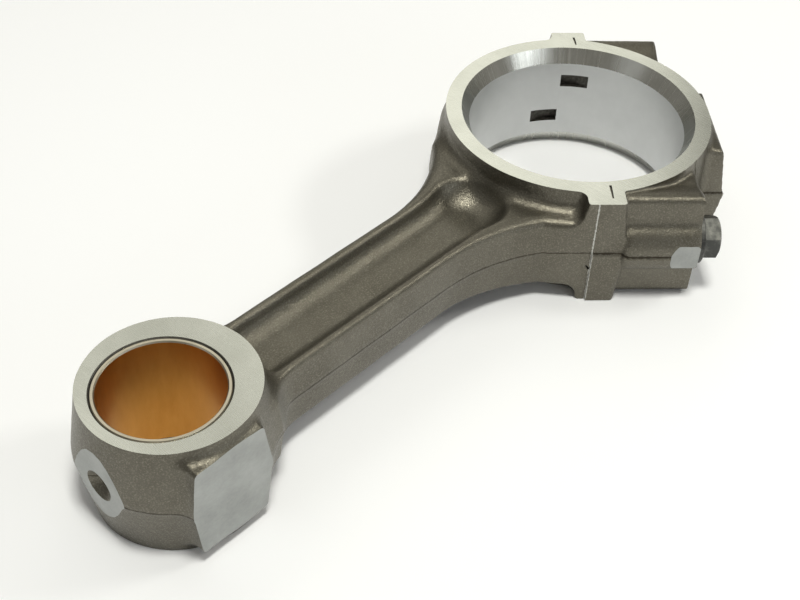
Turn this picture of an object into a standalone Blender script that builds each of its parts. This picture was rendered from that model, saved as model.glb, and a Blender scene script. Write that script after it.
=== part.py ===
"""A heavy-duty engine connecting rod with an oblique bolted cap.

The drawing's own origin is the crank bore's centre on the forging's mid-plane. Local u runs
along the cap bolts, out of the rod, and v runs across them. Everything hangs on one empty that
moves the object so that its bounding box stands on the world origin.
"""
import math

import bmesh
import bpy
from mathutils import Matrix, Vector

MM = 0.001

# Driving dimensions, in millimetres.
CENTRES = 260.0
HALF_WIDTH = 28.7
CRANK_R = 52.6
CRANK_CHAMFER = 4.0
CRANK_CHAMFER_DEPTH = 6.8
BUSH_R = 25.1
BUSH_OUTER_R = 27.0
SPLIT_ANGLE = -45.0
GAP = 0.3

# Forging draft: how far a wall leans in for each millimetre away from the mid-plane.
DRAFT = 0.122

EYE_R = 40.8
EYE_FACE_R = 36.0
EYE_X = -256.0
EYE_TIP_CUT = 3.2
NEAR_PAD_X = (-279.7, -240.3)
FAR_PAD_X = (-268.0, -240.3)
PAD_HALF_SPAN = 38.4
PAD_HALF_HEIGHT = 23.0
OIL_HOLE_R = 3.5
OIL_SINK_R = 7.0

BEAM_HALF_WIDTH = 20.5
BEAM_HALF_HEIGHT = 17.0
CHANNEL_FLOOR_HALF_WIDTH = 11.4
CHANNEL_LEAN = 4.0
WEB_HALF_THICKNESS = 7.5
EDGE_ROUND = 2.6

RING_R = 65.5
SHOULDER_R = 68.0
SHOULDER_HALF_HEIGHT = 21.5
NEAR_EAR_SPAN = 73.3
FAR_EAR_SPAN = 71.2
EAR_U = (-10.5, 16.0)
EAR_LEAN = 6.0

BOLT_V = 61.0
BOLT_R = 6.0
BOLT_HOLE_R = 6.4
BOLT_REACH = 27.0
SEAT_U = 49.8
WASHER_R = 12.6
WASHER_THICKNESS = 2.1
HEAD_FLATS = 18.6
HEAD_HEIGHT = 7.6
NEAR_BOSS_SPAN = 71.0
FAR_BOSS_SPAN = 69.8
BOSS_HALF_HEIGHT = 27.5
BULGE_R = 15.2
SPOT_SPAN = 75.2
SPOT_U = 38.5
LUG_HALF_HEIGHT = 15.0
RIB_U = 70.6
RIB_HALF_SPAN = 28.0
RIB_HALF_HEIGHT = 23.0

SLOT_DEPTH = 3.2
SLOT_WIDTH = 7.0
CAP_SLOT_Z = 11.2
ROD_SLOT_Z = -10.3
SLOT_DISC_R = 22.0

STOCK = 6.0
FAR = 120.0

# The two sides of the split big end: its sign along v, the ear's and the boss's reach.
SIDES = {
    "near": (1.0, NEAR_EAR_SPAN, NEAR_BOSS_SPAN),
    "far": (-1.0, FAR_EAR_SPAN, FAR_BOSS_SPAN),
}

STEEL_FORGED = ((0.115, 0.105, 0.085, 1.0), 0.55, 0.8)
BRONZE = ((0.42, 0.19, 0.055, 1.0), 0.35, 1.0)
BLACK_STEEL = ((0.03, 0.032, 0.034, 1.0), 0.45, 0.7)


def remove_everything():
    for obj in list(bpy.data.objects):
        bpy.data.objects.remove(obj, do_unlink=True)


def new_collection(name):
    collection = bpy.data.collections.new(name)
    bpy.context.scene.collection.children.link(collection)
    return collection


def material(name, colour, roughness, metallic):
    made = bpy.data.materials.new(name)
    made.use_nodes = True
    shader = made.node_tree.nodes["Principled BSDF"]
    shader.inputs["Base Color"].default_value = colour
    shader.inputs["Roughness"].default_value = roughness
    shader.inputs["Metallic"].default_value = metallic
    return made


def uv_point(u, v):
    """The drawing's x and y, in millimetres, of a point given along and across the bolts."""
    split = math.radians(SPLIT_ANGLE)
    return (
        u * math.cos(split) + v * math.sin(split),
        u * math.sin(split) - v * math.cos(split),
    )


def uv_matrix(u=0.0, v=0.0, z=0.0):
    """Local X along the bolts (+u), local Y across them towards the near side (+v)."""
    split = math.radians(SPLIT_ANGLE)
    x, y = uv_point(u, v)
    turn = Matrix(
        (
            (math.cos(split), math.sin(split), 0.0),
            (math.sin(split), -math.cos(split), 0.0),
            (0.0, 0.0, -1.0),
        )
    ).to_4x4()
    return Matrix.Translation(Vector((x, y, z)) * MM) @ turn


def arc(x, y, radius, start, end, steps):
    """Points on an arc, angles in degrees, both ends included."""
    return [
        (
            x + radius * math.cos(math.radians(start + (end - start) * i / steps)),
            y + radius * math.sin(math.radians(start + (end - start) * i / steps)),
        )
        for i in range(steps + 1)
    ]


def mesh_object(name, mesh_maker, collection):
    """A new object whose mesh the function given fills through a bmesh."""
    form = bmesh.new()
    mesh_maker(form)
    mesh = bpy.data.meshes.new(name)
    form.to_mesh(mesh)
    form.free()
    obj = bpy.data.objects.new(name, mesh)
    collection.objects.link(obj)
    return obj


def add_mirror_z(obj):
    mirror = obj.modifiers.new("other_die_half", "MIRROR")
    mirror.use_axis = (False, False, True)
    mirror.use_clip = True
    mirror.merge_threshold = 0.00001


def add_bevel(obj, width, segments=3, angle=30.0):
    bevel = obj.modifiers.new("rounded_edge", "BEVEL")
    bevel.width = width * MM
    bevel.segments = segments
    bevel.limit_method = "ANGLE"
    bevel.angle_limit = math.radians(angle)


def drafted_plate(name, outline, half_height, lean, collection, rounding=0.0):
    """A forged plate: a mid-plane outline drawn up to half_height with walls that lean in.

    Points are in millimetres. The half above the mid-plane is mirrored below it.
    """

    def make(form):
        drawn_face(form, outline, 0.0, half_height, lean)

    plate = mesh_object(name, make, collection)
    add_mirror_z(plate)
    if rounding:
        add_bevel(plate, rounding)
    return plate


def drawn_face(form, outline, start, end, lean):
    """One face at height start, drawn to height end while its outline shrinks by lean."""
    face = form.faces.new([form.verts.new((x * MM, y * MM, start * MM)) for x, y in outline])
    face.normal_update()
    bmesh.ops.inset_region(
        form,
        faces=[face],
        thickness=lean * MM,
        depth=(end - start) * MM,
        use_boundary=True,
        use_even_offset=True,
    )


def drafted_pocket(name, outline, mouth, floor, lean, collection):
    """A closed cutter that narrows by lean from the outline at its mouth to its floor."""

    def make(form):
        drawn_face(form, outline, mouth, floor, lean)
        form.faces.new([vert for vert in form.verts if vert.is_boundary])
        bmesh.ops.recalc_face_normals(form, faces=form.faces)

    return mesh_object(name, make, collection)


def turned(name, profile, steps, collection):
    """A solid turned about local Z. The profile's points, (radius, height), run top to bottom."""

    def make(form):
        verts = [form.verts.new((r * MM, 0.0, z * MM)) for r, z in profile]
        for a, b in zip(verts, verts[1:]):
            form.edges.new((a, b))

    obj = mesh_object(name, make, collection)
    screw = obj.modifiers.new("turn", "SCREW")
    screw.axis = "Z"
    screw.steps = steps
    screw.render_steps = steps
    screw.use_merge_vertices = True
    screw.merge_threshold = 0.00001
    screw.use_smooth_shade = True
    return obj


def box(name, low, high, collection, matrix=None):
    def make(form):
        bmesh.ops.create_cube(form, size=1.0)
        for vert in form.verts:
            vert.co = Vector(
                [(low[i] if vert.co[i] < 0 else high[i]) * MM for i in range(3)]
            )

    obj = mesh_object(name, make, collection)
    if matrix:
        obj.matrix_world = matrix
    return obj


def as_cutter(obj):
    obj.hide_render = True
    obj.display_type = "WIRE"
    return obj


def boolean(target, operation, tool):
    as_cutter(tool)
    modifier = target.modifiers.new(tool.name, "BOOLEAN")
    modifier.operation = operation
    modifier.solver = "EXACT"
    modifier.object = tool


def cut(target, *tools):
    for tool in tools:
        boolean(target, "DIFFERENCE", tool)


def join(target, *tools):
    for tool in tools:
        boolean(target, "UNION", tool)


def smooth_rounds(obj, angle=32.0):
    obj.data.shade_smooth()
    obj.data.set_sharp_from_angle(angle=math.radians(angle))


# --- outlines, in millimetres, counter-clockwise -------------------------------------------


def circle(x, y, radius, steps):
    return arc(x, y, radius, 0.0, 360.0 * (steps - 1) / steps, steps - 1)


def shank_outline():
    """The beam with its flares: short into the eye, long into the shoulders and the near ear."""
    fillet = 25.0
    near_flare = 92.0
    far_flare = 84.0
    edge = BEAM_HALF_WIDTH
    reach = math.sqrt((EYE_R + fillet) ** 2 - (edge + fillet) ** 2)
    fillet_x = EYE_X + reach
    fillet_turn = math.degrees(math.atan2(edge + fillet, reach))
    near = arc(fillet_x, -edge - fillet, fillet, 180.0 - fillet_turn, 90.0, 5)
    near += arc(-118.0, -edge - near_flare, near_flare, 90.0, 52.0, 8)
    near.append(uv_point(2.0, NEAR_EAR_SPAN - 0.5))
    inside = [uv_point(2.0, 30.0), (-20.0, 25.0), (-30.0, 58.0)]
    far = arc(-116.0, edge + far_flare, far_flare, -48.0, -90.0, 7)
    far += arc(fillet_x, edge + fillet, fillet, -90.0, fillet_turn - 180.0, 5)
    return [(EYE_X, -20.0)] + near + inside + far + [(EYE_X, 20.0)]


def thicken_towards_shoulders(obj):
    """Lets the shank's height grow from the beam's to the shoulders', in a few even steps."""
    stations = [-118.0, -103.0, -88.0, -73.0, -58.0]
    form = bmesh.new()
    form.from_mesh(obj.data)
    for station in stations:
        bmesh.ops.bisect_plane(
            form,
            geom=form.verts[:] + form.edges[:] + form.faces[:],
            plane_co=(station * MM, 0, 0),
            plane_no=(1, 0, 0),
        )
    first, last = stations[0] * MM, stations[-1] * MM
    growth = SHOULDER_HALF_HEIGHT / BEAM_HALF_HEIGHT - 1.0
    for vert in form.verts:
        share = min(max((vert.co.x - first) / (last - first), 0.0), 1.0)
        vert.co.z *= 1.0 + growth * share
    form.to_mesh(obj.data)
    form.free()


def channel_outline(margin):
    """The channel in the beam's face. It widens a little at its round end by the big end."""
    start_x = EYE_X + 30.0
    flare_x = -118.0
    side = CHANNEL_FLOOR_HALF_WIDTH + margin
    bowl = arc(-83.0, -0.5, 14.4 + margin, -100.0, 100.0, 12)
    return [(start_x, -side), (flare_x, -side)] + bowl + [(flare_x, side), (start_x, side)]


def ear_outline(sign, span):
    """An ear beside the parting face, drawn past the plane that its outer face is milled to."""
    inner, outer = 40.0, span + 2.0 * STOCK
    low, high = EAR_U
    corners = [(low, inner), (high, inner), (high, outer), (low, outer)]
    return [uv_point(u, v * sign) for u, v in corners]


def boss_outline(sign, span):
    """The block round a cap bolt. Its seat end is milled afterwards."""
    end = SEAT_U + 1.5
    corners = [(1.0, 38.0), (end, 38.0), (end, span), (1.0, span)]
    return [uv_point(u, v * sign) for u, v in corners]


def lug_outline():
    """The metal round the far bolt's threaded hole, running back from the ear into the shoulder."""
    edge = FAR_EAR_SPAN - 0.4
    points = [(2, 45), (2, edge), (-17, edge), (-30, edge - 3), (-42, edge - 10), (-52, 45)]
    return [uv_point(u, -v) for u, v in points]


def rib_outline():
    corners = [
        (40.0, -RIB_HALF_SPAN),
        (RIB_U, -RIB_HALF_SPAN),
        (RIB_U, RIB_HALF_SPAN),
        (40.0, RIB_HALF_SPAN),
    ]
    return [uv_point(u, v) for u, v in corners]


# --- shapes that both halves of the big end share ------------------------------------------


def make_ear(name, side, lean, cutters):
    """An ear with its outer face milled flat."""
    sign, span, _ = SIDES[side]
    ear = drafted_plate(name, ear_outline(sign, span), HALF_WIDTH, lean, cutters)
    low, high = sorted((sign * span, sign * FAR))
    cut(ear, box(f"{name}_face", (-FAR, low, -FAR), (FAR, high, FAR), cutters, uv_matrix()))
    return ear


def crank_bore_tool(name, cutters):
    rise = CRANK_CHAMFER_DEPTH
    past = STOCK * CRANK_CHAMFER / rise
    mouth = CRANK_R + CRANK_CHAMFER + past
    top = HALF_WIDTH + STOCK
    step = HALF_WIDTH - rise
    profile = [(0.0, top), (mouth, top), (CRANK_R, step), (CRANK_R, -step), (mouth, -top)]
    return turned(name, profile + [(0.0, -top)], 96, cutters)


def slot_tool(name, height, cutters):
    """A milling disc on the parting plane: deepest at the parting face, running out to nothing."""
    centre = (CRANK_R + SLOT_DEPTH - SLOT_DISC_R) * math.cos(math.radians(SPLIT_ANGLE))
    outline = circle(centre, centre, SLOT_DISC_R, 40)
    slot = drafted_plate(name, outline, SLOT_WIDTH / 2, 0.02, cutters)
    slot.location.z = height * MM
    return slot


def bolt_hole_tool(name, v, low, high, radius, cutters):
    tool = turned(name, [(0, high), (radius, high), (radius, low), (0, low)], 32, cutters)
    tool.matrix_world = uv_matrix(0.0, v) @ Matrix.Rotation(math.radians(90.0), 4, "Y")
    return tool


# --- the pieces ----------------------------------------------------------------------------


def make_rod_body(parts, cutters):
    body = drafted_plate(
        "rod_body",
        shank_outline(),
        BEAM_HALF_HEIGHT,
        BEAM_HALF_HEIGHT * DRAFT * 0.6,
        parts,
        EDGE_ROUND,
    )
    thicken_towards_shoulders(body)
    shoulder = drafted_plate(
        "shoulder",
        circle(0, 0, SHOULDER_R, 72),
        BEAM_HALF_HEIGHT + 1.3,
        BEAM_HALF_HEIGHT * DRAFT,
        cutters,
        EDGE_ROUND,
    )
    channels = [
        drafted_pocket(
            f"channel_{side}",
            channel_outline(CHANNEL_LEAN),
            sign * (HALF_WIDTH + STOCK),
            sign * WEB_HALF_THICKNESS,
            CHANNEL_LEAN,
            cutters,
        )
        for side, sign in (("top", 1.0), ("bottom", -1.0))
    ]
    eye = drafted_plate(
        "eye", circle(EYE_X, 0, EYE_R, 72), HALF_WIDTH, EYE_R - EYE_FACE_R, cutters
    )
    pads = [
        make_pad("near_pad", NEAR_PAD_X, -1.0, cutters),
        make_pad("far_pad", FAR_PAD_X, 1.0, cutters),
    ]
    ring = drafted_plate(
        "rod_ring", circle(0, 0, RING_R, 96), HALF_WIDTH, HALF_WIDTH * DRAFT, cutters
    )
    ears = [make_ear(f"rod_ear_{side}", side, EAR_LEAN, cutters) for side in SIDES]
    lug = drafted_plate("thread_lug", lug_outline(), LUG_HALF_HEIGHT, 2.0, cutters, EDGE_ROUND)
    join(body, shoulder)
    cut(body, *channels)
    join(body, eye, *pads, ring, *ears, lug)
    cut(
        body,
        box("rod_parting", (-GAP / 2, -FAR, -FAR), (FAR, FAR, FAR), cutters, uv_matrix()),
        crank_bore_tool("rod_crank_bore", cutters),
        slot_tool("rod_tang_slot", ROD_SLOT_Z, cutters),
    )
    tip = EYE_X - EYE_R + EYE_TIP_CUT
    cut(body, box("tip_spot_face", (tip - FAR, -FAR, -FAR), (tip, FAR, FAR), cutters))

    bore_r = BUSH_OUTER_R + GAP
    lip = 0.9
    top = HALF_WIDTH + STOCK
    profile = [
        (0, top),
        (bore_r + lip + STOCK, top),
        (bore_r, HALF_WIDTH - lip),
        (bore_r, lip - HALF_WIDTH),
        (bore_r + lip + STOCK, -top),
        (0, -top),
    ]
    bore = turned("bush_bore", profile, 72, cutters)
    bore.location.x = -CENTRES * MM
    oil_hole = oil_hole_tool("rod_oil_hole", cutters)
    holes = [
        bolt_hole_tool(f"rod_bolt_hole_{side}", v, -BOLT_REACH - 3.0, 10.0, BOLT_HOLE_R, cutters)
        for side, v in (("near", BOLT_V), ("far", -BOLT_V))
    ]
    cut(body, bore, oil_hole, *holes)
    return body


def make_pad(name, span_x, sign, cutters):
    """A boss on the eye's side with its outer face milled flat."""
    outer = sign * (PAD_HALF_SPAN + STOCK)
    outline = [(x, y) for y in sorted((0.0, outer)) for x in span_x]
    outline[2], outline[3] = outline[3], outline[2]
    lean = PAD_HALF_HEIGHT * DRAFT
    pad = drafted_plate(name, outline, PAD_HALF_HEIGHT, lean, cutters, EDGE_ROUND)
    low, high = sorted((sign * PAD_HALF_SPAN, sign * FAR))
    cut(pad, box(f"{name}_face", (-4 * FAR, low, -FAR), (0.0, high, FAR), cutters))
    return pad


def oil_hole_tool(name, cutters):
    """The drilled oil feed at the tip, countersunk from the spot face."""
    tip = -(EYE_X - EYE_R + EYE_TIP_CUT)
    sink = OIL_SINK_R - OIL_HOLE_R
    profile = [
        (0, tip + STOCK),
        (OIL_SINK_R + STOCK, tip + STOCK),
        (OIL_HOLE_R, tip - sink),
        (OIL_HOLE_R, CENTRES),
        (0, CENTRES),
    ]
    tool = turned(name, profile, 24, cutters)
    tool.rotation_euler.y = math.radians(-90.0)
    return tool


def make_rod_cap(parts, cutters):
    cap = drafted_plate(
        "rod_cap", circle(0, 0, RING_R, 96), HALF_WIDTH, HALF_WIDTH * DRAFT, parts
    )
    rib = drafted_plate(
        "cap_rib", rib_outline(), RIB_HALF_HEIGHT, RIB_HALF_HEIGHT * DRAFT, cutters, 1.5
    )
    join(cap, rib)
    for side, (sign, _, span) in SIDES.items():
        boss = drafted_plate(
            f"cap_boss_{side}",
            boss_outline(sign, span),
            BOSS_HALF_HEIGHT,
            BOSS_HALF_HEIGHT * DRAFT * 0.7,
            cutters,
            EDGE_ROUND,
        )
        bulge = bolt_hole_tool(
            f"cap_bulge_{side}", sign * BOLT_V, 3.0, SEAT_U + 1.0, BULGE_R, cutters
        )
        ear = make_ear(f"cap_ear_{side}", side, EAR_LEAN * 0.6, cutters)
        join(cap, boss, bulge, ear)
    spots = [
        box(
            f"cap_spot_{side}",
            (SPOT_U, min(a, b), -FAR),
            (FAR, max(a, b), FAR),
            cutters,
            uv_matrix(),
        )
        for side, a, b in (("near", SPOT_SPAN, FAR), ("far", -SPOT_SPAN, -FAR))
    ]
    seats = [
        box(
            f"cap_seat_{side}",
            (SEAT_U, min(a, b), -FAR),
            (FAR, max(a, b), FAR),
            cutters,
            uv_matrix(),
        )
        for side, a, b in (("near", 40.0, FAR), ("far", -40.0, -FAR))
    ]
    holes = [
        bolt_hole_tool(f"cap_bolt_hole_{side}", v, -10.0, FAR, BOLT_HOLE_R, cutters)
        for side, v in (("near", BOLT_V), ("far", -BOLT_V))
    ]
    cut(
        cap,
        *spots,
        *seats,
        box("cap_parting", (-FAR, -FAR, -FAR), (GAP / 2, FAR, FAR), cutters, uv_matrix()),
        crank_bore_tool("cap_crank_bore", cutters),
        slot_tool("cap_tang_slot", CAP_SLOT_Z, cutters),
        *holes,
    )
    return cap


def make_bush(parts):
    lip = 0.8
    half = HALF_WIDTH - 0.3
    profile = [
        (BUSH_R + lip, half),
        (BUSH_OUTER_R - 0.4, half),
        (BUSH_OUTER_R, half - 0.4),
        (BUSH_OUTER_R, 0.4 - half),
        (BUSH_OUTER_R - 0.4, -half),
        (BUSH_R + lip, -half),
        (BUSH_R, lip - half),
        (BUSH_R, half - lip),
        (BUSH_R + lip, half),
    ]
    bush = turned("pin_bush", profile, 72, parts)
    bush.location.x = -CENTRES * MM
    return bush


def make_bolt(name, v, parts, cutters):
    """A hexagon cap bolt. Local Z is the bolt's axis and points out of the rod."""
    seat = SEAT_U + GAP + WASHER_THICKNESS + GAP
    crown = seat + HEAD_HEIGHT
    corner_r = HEAD_FLATS / math.sqrt(3.0)
    lead = 1.2

    def hexagon(form):
        bmesh.ops.create_cone(
            form,
            cap_ends=True,
            segments=6,
            radius1=corner_r * MM,
            radius2=corner_r * MM,
            depth=HEAD_HEIGHT * MM,
            matrix=Matrix.Translation((0, 0, (seat + crown) / 2 * MM)),
        )

    bolt = mesh_object(name, hexagon, parts)
    crown_tool = turned(
        f"{name}_crown",
        [(0, crown), (HEAD_FLATS / 2 - 0.3, crown), (corner_r + 1.0, crown - 1.8),
         (corner_r + 1.0, seat - 1.0), (0, seat - 1.0)],
        48,
        cutters,
    )
    shank = turned(
        f"{name}_shank",
        [(0, seat + 2.0), (BOLT_R, seat + 2.0), (BOLT_R, lead - BOLT_REACH),
         (BOLT_R - lead, -BOLT_REACH), (0, -BOLT_REACH)],
        32,
        cutters,
    )
    boolean(bolt, "INTERSECT", crown_tool)
    join(bolt, shank)
    stand = uv_matrix(0.0, v) @ Matrix.Rotation(math.radians(90.0), 4, "Y")
    for obj in (bolt, crown_tool, shank):
        obj.matrix_world = stand
    return bolt


def make_washer(name, v, parts):
    low = SEAT_U + GAP
    high = low + WASHER_THICKNESS
    hole = BOLT_HOLE_R
    edge = 0.4
    profile = [
        (hole, high),
        (WASHER_R - edge, high),
        (WASHER_R, high - edge),
        (WASHER_R, low + edge),
        (WASHER_R - edge, low),
        (hole, low),
        (hole, high),
    ]
    washer = turned(name, profile, 48, parts)
    washer.matrix_world = uv_matrix(0.0, v) @ Matrix.Rotation(math.radians(90.0), 4, "Y")
    return washer


def stand_on_origin(collections, parts):
    """Hangs every object on one empty and moves it: box centred on the origin, base at z = 0."""
    bpy.context.view_layer.update()
    graph = bpy.context.evaluated_depsgraph_get()
    corners = []
    for obj in parts.objects:
        shape = obj.evaluated_get(graph)
        corners += [obj.matrix_world @ vert.co for vert in shape.data.vertices]
    low = [min(corner[i] for corner in corners) for i in range(3)]
    high = [max(corner[i] for corner in corners) for i in range(3)]
    stand = bpy.data.objects.new("connecting_rod_stand", None)
    parts.objects.link(stand)
    stand.location = (-(low[0] + high[0]) / 2, -(low[1] + high[1]) / 2, -low[2])
    for collection in collections:
        for obj in collection.objects:
            if obj is not stand:
                obj.parent = stand
    print("crank bore centre at", [round(value, 6) for value in stand.location])


def main():
    remove_everything()
    parts = new_collection("connecting_rod")
    cutters = new_collection("cutters")
    forged = material("forged_steel", *STEEL_FORGED)
    bronze = material("bronze", *BRONZE)
    black = material("black_steel", *BLACK_STEEL)

    made = [
        (make_rod_body(parts, cutters), forged),
        (make_rod_cap(parts, cutters), forged),
        (make_bush(parts), bronze),
    ]
    for side, v in (("near", BOLT_V), ("far", -BOLT_V)):
        made.append((make_bolt(f"cap_bolt_{side}", v, parts, cutters), black))
        made.append((make_washer(f"washer_{side}", v, parts), black))
    for obj, finish in made:
        obj.data.materials.append(finish.copy())
        smooth_rounds(obj)
    stand_on_origin((parts, cutters), parts)


main()
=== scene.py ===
"""The connecting rod as it looks: forged blanks with fillets and flash, then machined."""

import math

import bmesh
import bpy
import numpy as np
from mathutils import Matrix, Vector


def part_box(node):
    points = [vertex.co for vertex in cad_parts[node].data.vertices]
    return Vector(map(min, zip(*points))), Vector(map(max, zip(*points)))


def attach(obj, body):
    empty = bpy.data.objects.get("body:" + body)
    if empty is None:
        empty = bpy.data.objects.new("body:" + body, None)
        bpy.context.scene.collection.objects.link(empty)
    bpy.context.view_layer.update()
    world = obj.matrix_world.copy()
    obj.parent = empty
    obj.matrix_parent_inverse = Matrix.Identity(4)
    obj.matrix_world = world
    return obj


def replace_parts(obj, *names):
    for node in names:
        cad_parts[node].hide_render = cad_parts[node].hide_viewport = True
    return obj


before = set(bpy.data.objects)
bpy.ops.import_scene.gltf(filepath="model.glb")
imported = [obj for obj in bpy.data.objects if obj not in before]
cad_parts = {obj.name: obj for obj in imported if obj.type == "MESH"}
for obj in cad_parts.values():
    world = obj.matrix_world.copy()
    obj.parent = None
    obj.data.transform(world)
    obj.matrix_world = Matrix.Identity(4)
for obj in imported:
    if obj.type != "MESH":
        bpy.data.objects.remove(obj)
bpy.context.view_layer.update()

MM = 0.001

# Design frame, in millimetres: X runs from the pin end to the big end, Z along both bores,
# and the origin is on the crank bore's axis at mid-height. u runs along the cap bolts, away
# from the rod, and v across them towards the near side.
CENTRES = 260.0
HALF_WIDTH = 28.7
CRANK_R = 52.6
CHAMFER = 4.0
CHAMFER_DEPTH = 6.8
BUSH_R = 25.1
BUSH_OUTER_R = 27.0
SPLIT = math.radians(-45.0)
SPLIT_GAP = 0.02

EYE_R = 40.8
EYE_X = -256.0
EYE_DRAFT = 4.8 / 28.7
PAD_SPAN = 38.4
PAD_HALF_HEIGHT = 23.4
NEAR_PAD_X = (-279.7, -240.3)
FAR_PAD_X = (-268.0, -240.3)
TIP_X = -293.6
OIL_HOLE_R = 3.5
OIL_SINK_R = 7.0

BEAM_HALF_WIDTH = 20.5
BEAM_HALF_HEIGHT = 17.0
BEAM_DRAFT = 0.073
CHANNEL_HALF_WIDTH = 15.4
CHANNEL_DRAFT = 0.36
CHANNEL_END_X = -84.0
SCOOP_CENTRE = (-79.5, 0.0, 22.5)
SCOOP_RADII = (17.0, 18.4, 14.6)
SCOOP_SLOPE = 14.5
WEB_HALF_THICKNESS = 7.5
NEAR_FLARE_X, NEAR_FLARE_R = -118.0, 92.0
FAR_FLARE_X, FAR_FLARE_R = -114.0, 78.0

# The big end. Each ear: its side of the rod, how far the ear reaches across the bolts, and how
# far the boss behind it does.
SHOULDER_HALF_HEIGHT = 21.3
SHOULDER_GROWS_X = (-118.0, -58.0)
SHOULDER_FALL = 3.4
SHOULDER_EDGE_FALL = 1.6
RING_R = 65.5
RING_DRAFT = 0.04
SHOULDER_R = 68.0
SHOULDER_PLATE_HALF_HEIGHT = 18.3
DRAFT = 0.122
ROD_EAR_DRAFT = 0.2
CAP_EAR_DRAFT = 0.12
EAR_U = (-10.5, 16.0)
EARS = {"near": (1.0, 73.3, 69.3), "far": (-1.0, 71.2, 68.6)}
LUG_HALF_HEIGHT = 15.0
BOSS_DRAFT = 0.035
BOSS_HALF_HEIGHT = 27.6
BOSS_DISH = 3.2
RIB_U = 70.6
RIB_HALF_SPAN = 28.0
RIB_HALF_HEIGHT = 23.0

BOLT_V = 61.0
BOLT_R = 6.0
BOLT_HOLE_R = 6.4
BOLT_REACH = 27.0
THREAD_PITCH = 1.5
SEAT_U = 49.8
WASHER_R = 12.6
HEAD_U = 52.5
HEAD_HEIGHT = 8.2
HEAD_FLATS = 18.6
BULGE_R = 15.2
BULGE_START_U = 14.2
BULGE_LOW_Z = -8.8
SPOT_U = 45.6
SPOT_V = 75.2
SPOT_Z = -2.0
SPOT_R = 9.4

# Bearing tang slots and struck marks.
SLOT_DISC_R = 22.0
SLOT_DEPTH = 3.2
SLOT_HALF_WIDTH = 3.5
ROD_SLOT_Z = -10.3
CAP_SLOT_Z = 11.2
DASH_U = 6.8
NICK_U, NICK_Z = -1.05, -8.8

GRID = 0.8
ROD_FLASH_STEP = -0.4
CAP_FLASH_STEP = 0.9


def uv(u, v):
    """Design x and y of a point given along and across the bolts."""
    return u * math.cos(SPLIT) + v * math.sin(SPLIT), u * math.sin(SPLIT) - v * math.cos(SPLIT)


def bush_centre():
    low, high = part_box("pin_bush")
    return (low + high) / 2


ORIGIN = bush_centre() + Vector((CENTRES * MM, 0.0, 0.0))


def uv_frame(u=0.0, v=0.0, z=0.0):
    """Local Z along the bolts, in millimetres of the design frame."""
    x, y = uv(u, v)
    along = Vector((math.cos(SPLIT), math.sin(SPLIT), 0.0))
    across = Vector((math.sin(SPLIT), -math.cos(SPLIT), 0.0))
    turn = Matrix((across, along.cross(across), along)).transposed().to_4x4()
    return Matrix.Translation((x, y, z)) @ turn


# --- forged shapes as distance fields ------------------------------------------------------


class Field:
    """A box of grid points and the distance fields of the shapes drawn in it."""

    def __init__(self, low, high):
        self.low = np.array(low, np.float32)
        axes = [np.arange(a, b + GRID, GRID, dtype=np.float32) for a, b in zip(low, high)]
        self.x = axes[0][:, None]
        self.y = axes[1][None, :]
        self.z = axes[2][None, None, :]
        self.u = self.x * math.cos(SPLIT) + self.y * math.sin(SPLIT)
        self.v = self.x * math.sin(SPLIT) - self.y * math.cos(SPLIT)

    def circle(self, x, y, radius):
        return np.hypot(self.x - x, self.y - y) - radius

    def outline(self, points):
        """Signed distance to a closed outline of (x, y) points."""
        nearest = np.full((self.x.size, self.y.size), 1e9, np.float32)
        inside = np.zeros(nearest.shape, bool)
        for (ax, ay), (bx, by) in zip(points, points[1:] + points[:1]):
            ex, ey = bx - ax, by - ay
            wx, wy = self.x - ax, self.y - ay
            along = np.clip((wx * ex + wy * ey) / max(ex * ex + ey * ey, 1e-9), 0.0, 1.0)
            nearest = np.minimum(nearest, (wx - ex * along) ** 2 + (wy - ey * along) ** 2)
            crosses = (self.y >= ay) != (self.y >= by)
            side = ex * wy - ey * wx
            inside ^= crosses & ((side > 0) == (by > ay))
        return np.sqrt(nearest) * np.where(inside, -1.0, 1.0).astype(np.float32)

    def plate(self, distance, half_height, draft, rounding):
        """A drafted plate: the outline shrinks with the height above and below mid-height."""
        wall = distance[:, :, None] + draft * np.abs(self.z)
        return round_both(wall, np.abs(self.z) - half_height, rounding)

    def rod_along_bolt(self, v, low, high, radius, rounding):
        """A round bar along u."""
        wall = np.hypot((self.v - v)[:, :, None], self.z) - radius
        ends = np.maximum(low - self.u, self.u - high)[:, :, None]
        return round_both(wall, np.broadcast_to(ends, wall.shape), rounding)


def round_both(a, b, radius):
    """The part inside both shapes, its edge rounded."""
    corner = np.hypot(np.maximum(a + radius, 0.0), np.maximum(b + radius, 0.0))
    return np.minimum(np.maximum(a, b), -radius) + corner


def weld(a, b, radius):
    """Both shapes together, with a round fillet where they meet."""
    corner = np.hypot(np.maximum(radius - a, 0.0), np.maximum(radius - b, 0.0))
    return np.maximum(np.minimum(a, b), radius) - corner


def arc(x, y, radius, start, end, steps):
    turns = [math.radians(start + (end - start) * i / steps) for i in range(steps + 1)]
    return [(x + radius * math.cos(t), y + radius * math.sin(t)) for t in turns]


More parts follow.
